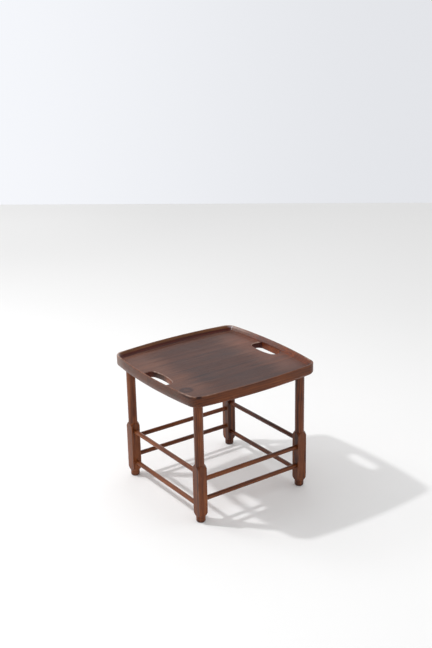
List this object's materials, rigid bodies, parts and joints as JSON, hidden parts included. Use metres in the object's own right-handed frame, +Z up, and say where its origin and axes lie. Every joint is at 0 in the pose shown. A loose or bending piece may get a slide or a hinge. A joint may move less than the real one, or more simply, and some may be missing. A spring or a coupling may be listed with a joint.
{
  "type": "stool",
  "caption": "Low square wooden stool: a dished tray top with hand slots lifts off turned legs that round rails join at staggered heights.",
  "frame": {"origin": "on the floor, under the centre of the tray", "axes": "+Z up; +X to the right end of the tray, where one hand slot is; +Y to the back, away from the viewer"},
  "size_m": [0.471, 0.471, 0.4097],
  "materials": {
    "board_front": "oiled reddish-brown hardwood, satin",
    "board_middle_front": "oiled reddish-brown hardwood, satin",
    "board_middle_back": "oiled reddish-brown hardwood, satin",
    "board_back": "oiled reddish-brown hardwood, satin",
    "leg_wood": "oiled reddish-brown hardwood, satin",
    "rail_wood": "oiled reddish-brown hardwood, satin"
  },
  "bodies": {
    "base": {"leg_front_left": "leg_wood", "leg_front_right": "leg_wood", "leg_back_left": "leg_wood", "leg_back_right": "leg_wood", "rail_front_upper": "rail_wood", "rail_front_lower": "rail_wood", "rail_back_upper": "rail_wood", "rail_back_lower": "rail_wood", "rail_left_upper": "rail_wood", "rail_left_lower": "rail_wood", "rail_right_upper": "rail_wood", "rail_right_lower": "rail_wood"},
    "tray": {"tray_board_front": "board_front", "tray_board_middle_front": "board_middle_front", "tray_board_middle_back": "board_middle_back", "tray_board_back": "board_back"}
  },
  "joints": [
    {"name": "tray_lift", "type": "slide", "parent": "base", "child": "tray", "axis": [0, 0, 1], "range_m": [0, 0.1]}
  ]
}
